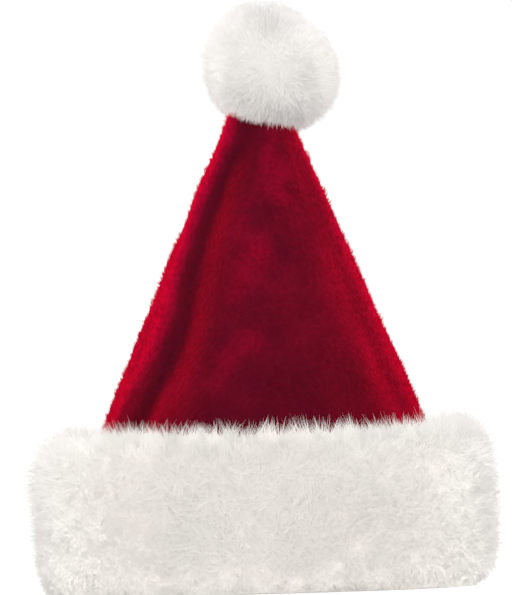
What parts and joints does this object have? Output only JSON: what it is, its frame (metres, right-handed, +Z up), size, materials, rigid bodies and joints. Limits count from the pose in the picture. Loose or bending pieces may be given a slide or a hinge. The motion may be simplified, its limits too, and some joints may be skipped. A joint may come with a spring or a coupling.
{
  "type": "santa hat",
  "caption": "Plush cone-shaped hat that stands on a turned-up fur cuff, with a fur pompom on its tip; the head goes in from below.",
  "frame": {"origin": "centre of the oval that the cuff covers, on the surface that the hat stands on", "axes": "+Z up to the pompom, +X to the wearer's left as the hat is seen from the front, -Y the front"},
  "size_m": [0.2625, 0.2301, 0.3257],
  "materials": {
    "red_plush": "short deep red plush pile, soft sheen at the rims",
    "white_fur": "long matte off-white faux fur"
  },
  "bodies": {
    "root": {"crown": "red_plush", "cuff": "white_fur", "pompom": "white_fur"}
  },
  "joints": []
}
